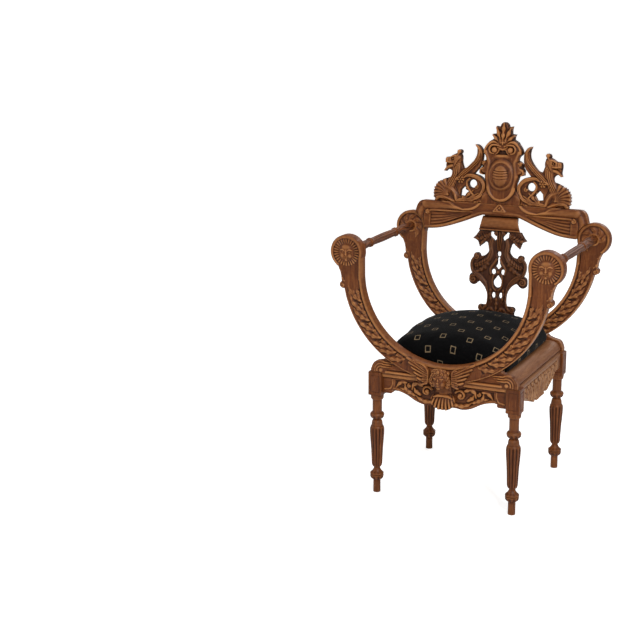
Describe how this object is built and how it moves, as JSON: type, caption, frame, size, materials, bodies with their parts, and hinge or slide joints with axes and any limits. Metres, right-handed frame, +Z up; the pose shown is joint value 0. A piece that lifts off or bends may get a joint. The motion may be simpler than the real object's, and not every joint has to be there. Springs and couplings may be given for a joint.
{
  "type": "carved armchair",
  "caption": "Carved wooden armchair with U-shaped arm frames at front and back, turned arm rails, a pierced back with griffins and a padded seat.",
  "frame": {"origin": "on the floor, under the middle of the chair's overall box", "axes": "+Z up, -Y the front that a sitter faces, +X to the right seen from the front"},
  "size_m": [0.681, 0.5505, 1.049],
  "materials": {
    "carved_walnut": "waxed, dark in the carving",
    "worn_walnut": "waxed, rubbed pale and grey",
    "pale_hardwood": "bare, unfinished",
    "jute_webbing": "coarse woven",
    "woven_cover": "woven, matte with a small pale pattern"
  },
  "bodies": {
    "root": {"apron_shell": "carved_walnut", "arm_rail_left": "carved_walnut", "arm_rail_right": "carved_walnut", "cartouche": "carved_walnut", "cartouche_boss": "carved_walnut", "cherub_head": "carved_walnut", "cherub_wing_left": "carved_walnut", "cherub_wing_right": "carved_walnut", "corner_block_front_left": "pale_hardwood", "corner_block_front_right": "pale_hardwood", "corner_block_rear_left": "pale_hardwood", "corner_block_rear_right": "pale_hardwood", "crest_dowels": "pale_hardwood", "crest_rail": "carved_walnut", "frame_dowels": "pale_hardwood", "front_arm_left": "carved_walnut", "front_arm_right": "carved_walnut", "front_rail": "carved_walnut", "front_spandrel_left": "carved_walnut", "front_spandrel_right": "carved_walnut", "griffin_left": "carved_walnut", "griffin_right": "carved_walnut", "left_rail": "carved_walnut", "leg_front_left": "carved_walnut", "leg_front_right": "carved_walnut", "leg_rear_left": "carved_walnut", "leg_rear_right": "carved_walnut", "rear_arm_left": "carved_walnut", "rear_arm_right": "carved_walnut", "rear_rail": "carved_walnut", "rear_spandrel_left": "carved_walnut", "rear_spandrel_right": "carved_walnut", "right_rail": "carved_walnut", "seat_cushion": "woven_cover", "seat_slat_front": "pale_hardwood", "seat_slat_left": "pale_hardwood", "seat_slat_rear": "pale_hardwood", "seat_slat_right": "pale_hardwood", "seat_webbing": "jute_webbing", "side_roll_left": "worn_walnut", "side_roll_right": "worn_walnut", "splat": "carved_walnut", "splat_cap": "carved_walnut", "splat_shoe": "carved_walnut"}
  },
  "joints": []
}
